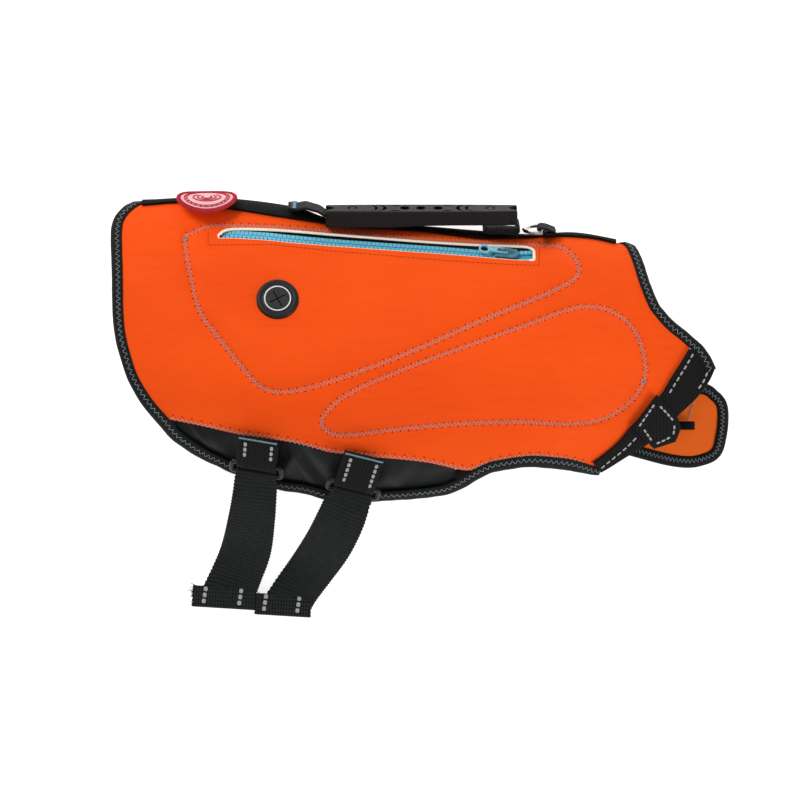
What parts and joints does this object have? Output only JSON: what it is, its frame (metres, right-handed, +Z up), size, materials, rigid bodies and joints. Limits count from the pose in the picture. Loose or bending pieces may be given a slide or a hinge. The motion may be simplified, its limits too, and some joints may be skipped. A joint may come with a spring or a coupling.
{
  "type": "dog life jacket",
  "caption": "Orange padded neoprene dog life jacket lying on its side, hollow, with a spine handle, leash ring, zip pocket, belly straps and a chest flap.",
  "frame": {"origin": "on the flat underside of the far panel, where the jacket lies on a surface, at the middle of its length", "axes": "+X towards the neck, +Y towards the spine and its handle, +Z up from the surface towards the near side"},
  "size_m": [0.3732, 0.2571, 0.0807],
  "materials": {
    "orange_neoprene": "matt knitted face",
    "black_nylon": "smooth coated nylon",
    "black_binding": "folded elastic binding",
    "black_webbing": "ribbed webbing with reflective threads",
    "patch_cloth": "sewn round patch",
    "zip_tape": "woven tape with moulded teeth",
    "black_plastic": "moulded",
    "grip_rubber": "moulded grip",
    "port_rubber": "moulded",
    "steel": "polished",
    "blue_enamel": "enamelled"
  },
  "bodies": {
    "jacket": {"panel_near": "orange_neoprene", "panel_far": "orange_neoprene", "chest_flap": "orange_neoprene", "belly_flap_near": "black_nylon", "belly_flap_far": "black_nylon", "binding_hem": "black_binding", "binding_neck": "black_binding", "chest_flap_binding": "black_binding", "spine_band": "black_webbing", "front_webbing_near": "black_webbing", "front_webbing_far": "black_webbing", "chest_tab": "black_webbing", "chest_loop": "black_webbing", "belly_tab_rear": "black_webbing", "belly_tab_front": "black_webbing", "belly_strap_rear": "black_webbing", "belly_strap_front": "black_webbing", "handle_webbing_rear": "black_webbing", "handle_webbing_front": "black_webbing", "leash_loop": "black_webbing", "belly_ring_rear": "black_plastic", "belly_ring_front": "black_plastic", "handle_grip": "grip_rubber", "port_grommet": "port_rubber", "badge": "patch_cloth", "zip_tape": "zip_tape", "zip_slider": "blue_enamel"},
    "leash_ring": {"leash_ring": "steel"},
    "zip_pull": {"zip_pull": "blue_enamel"}
  },
  "joints": [
    {"name": "leash_ring_hinge", "type": "hinge", "parent": "jacket", "child": "leash_ring", "pos_m": [0.085, 0.06674, 0.02414], "axis": [0, -0.2079, 0.9781], "range_deg": [-150, 0]},
    {"name": "zip_pull_hinge", "type": "hinge", "parent": "jacket", "child": "zip_pull", "pos_m": [0.06393, 0.05351, 0.0408], "axis": [0.0308, 0.7376, -0.6745], "range_deg": [0, 160]}
  ]
}
